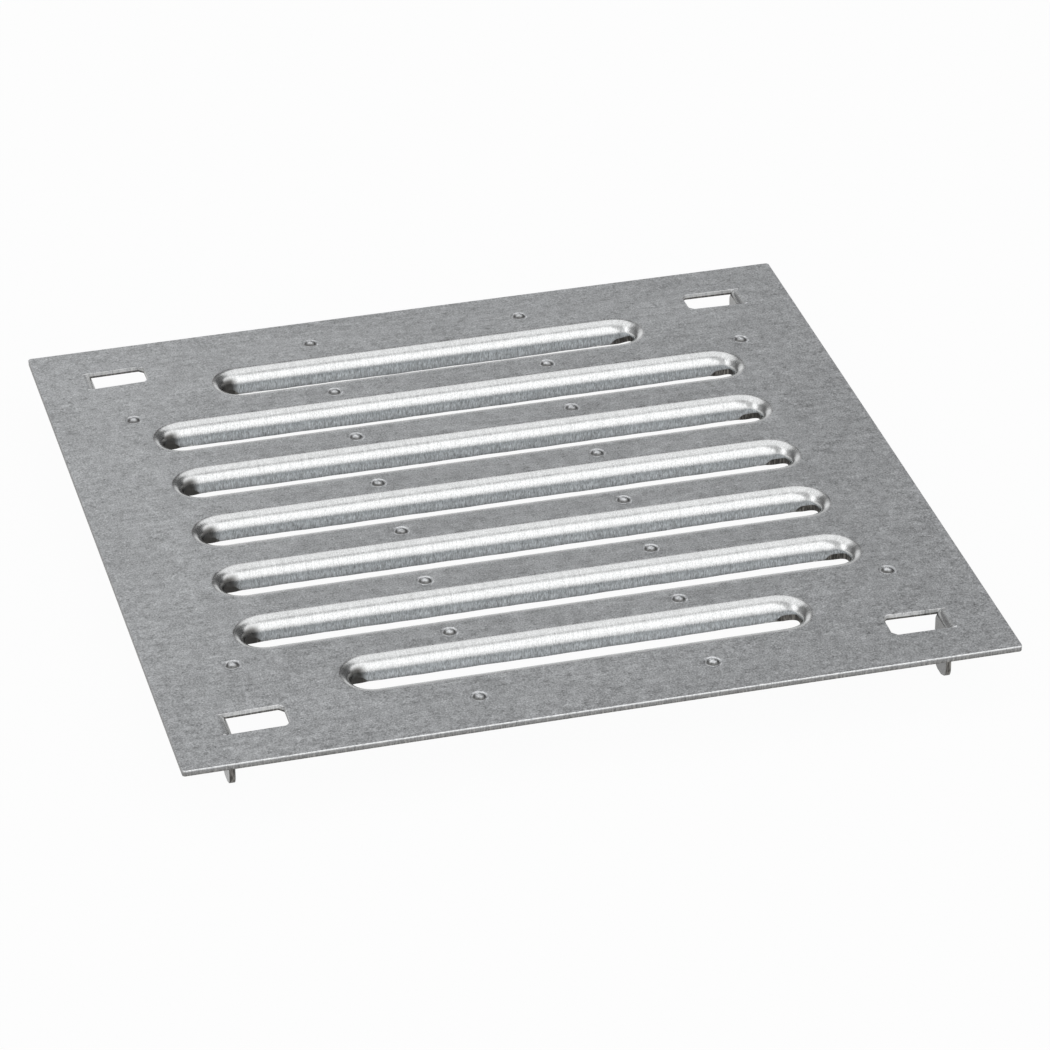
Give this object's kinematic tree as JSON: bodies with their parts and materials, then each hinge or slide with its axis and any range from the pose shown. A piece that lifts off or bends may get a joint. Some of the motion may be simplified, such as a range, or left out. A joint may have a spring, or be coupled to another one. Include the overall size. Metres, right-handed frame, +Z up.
{
  "type": "drain grate",
  "caption": "Square slotted drain grate pressed from galvanised sheet steel, with collared slots, anti-slip pimples and bent corner tabs.",
  "frame": {"origin": "under the middle of the grate, on the plane of the four tab tips", "axes": "+Z up out of the walked-on face, +X along the slots, +Y across them"},
  "size_m": [0.2, 0.2, 0.0164],
  "materials": {
    "galvanised_steel": "galvanised, fine matt grain with polished roll-overs"
  },
  "bodies": {
    "root": {"grate": "galvanised_steel"}
  },
  "joints": []
}
